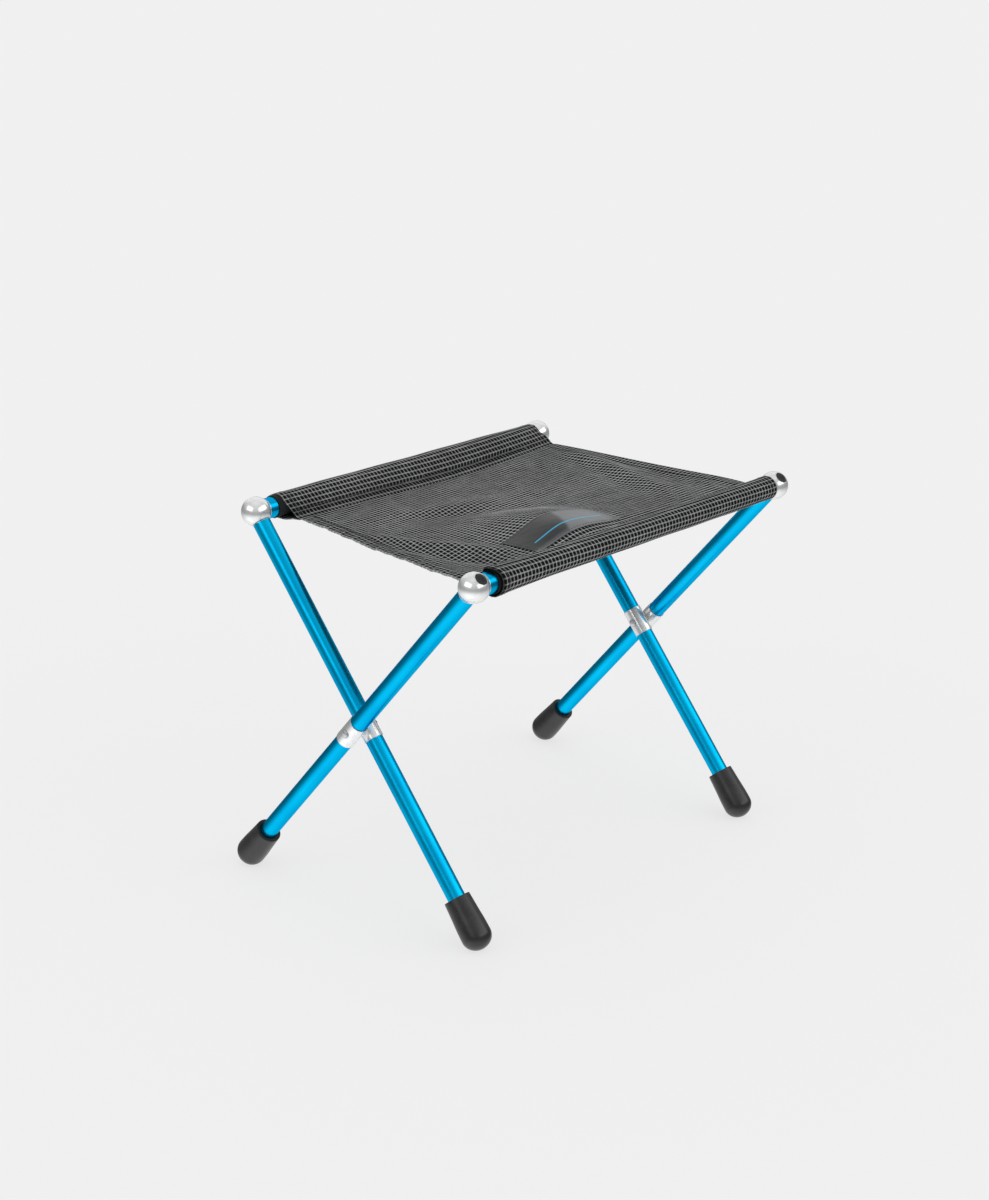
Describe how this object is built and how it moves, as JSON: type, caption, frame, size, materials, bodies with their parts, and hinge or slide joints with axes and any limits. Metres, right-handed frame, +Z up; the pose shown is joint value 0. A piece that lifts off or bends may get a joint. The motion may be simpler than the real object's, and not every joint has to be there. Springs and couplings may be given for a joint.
{
  "type": "folding camp stool",
  "caption": "Low folding camp stool: two crossed tube U-frames pinned at a hub each side, ball corners, flared rubber feet and a slung fabric seat.",
  "frame": {"origin": "on the floor under the middle of the stool, midway between the four feet", "axes": "+X along the two seat rails, -Y towards the front rail, +Z up"},
  "size_m": [0.3398, 0.2324, 0.266],
  "materials": {
    "anodised_tube": "blue anodised, satin gloss",
    "bright_aluminium": "polished",
    "rivet_steel": "plain",
    "foot_rubber": "moulded, satin",
    "plug_plastic": "matt",
    "nylon": "natural",
    "elastic_cord": "braided sheath",
    "seat_fabric": "open ripstop grid weave, charcoal with grey threads",
    "label_patch": "smooth plain patch"
  },
  "bodies": {
    "inner_frame": {"back_rail": "anodised_tube", "back_rail_sleeve": "seat_fabric", "corner_ball_back_left": "bright_aluminium", "corner_ball_back_right": "bright_aluminium", "port_plug_back_left": "plug_plastic", "port_plug_back_right": "plug_plastic", "shock_cord_back_left": "elastic_cord", "shock_cord_back_right": "elastic_cord", "cord_anchor_back_left": "nylon", "cord_anchor_back_right": "nylon", "leg_tube_back_left": "anodised_tube", "leg_tube_back_right": "anodised_tube", "hub_ferrule_back_left": "bright_aluminium", "hub_ferrule_back_right": "bright_aluminium", "foot_cap_back_left": "foot_rubber", "foot_cap_back_right": "foot_rubber", "pivot_rivet_left": "rivet_steel", "pivot_rivet_right": "rivet_steel", "hub_washer_left": "nylon", "hub_washer_right": "nylon", "seat_panel": "seat_fabric", "seat_label": "label_patch"},
    "outer_frame": {"front_rail": "anodised_tube", "front_rail_sleeve": "seat_fabric", "corner_ball_front_left": "bright_aluminium", "corner_ball_front_right": "bright_aluminium", "port_plug_front_left": "plug_plastic", "port_plug_front_right": "plug_plastic", "shock_cord_front_left": "elastic_cord", "shock_cord_front_right": "elastic_cord", "cord_anchor_front_left": "nylon", "cord_anchor_front_right": "nylon", "leg_tube_front_left": "anodised_tube", "leg_tube_front_right": "anodised_tube", "hub_ferrule_front_left": "bright_aluminium", "hub_ferrule_front_right": "bright_aluminium", "foot_cap_front_left": "foot_rubber", "foot_cap_front_right": "foot_rubber"}
  },
  "joints": [
    {"name": "fold", "type": "hinge", "parent": "inner_frame", "child": "outer_frame", "pos_m": [0, 0, 0.12954], "axis": [-1, 0, 0], "range_deg": [0, 72], "deforming": ["seat_panel", "seat_label"]}
  ]
}
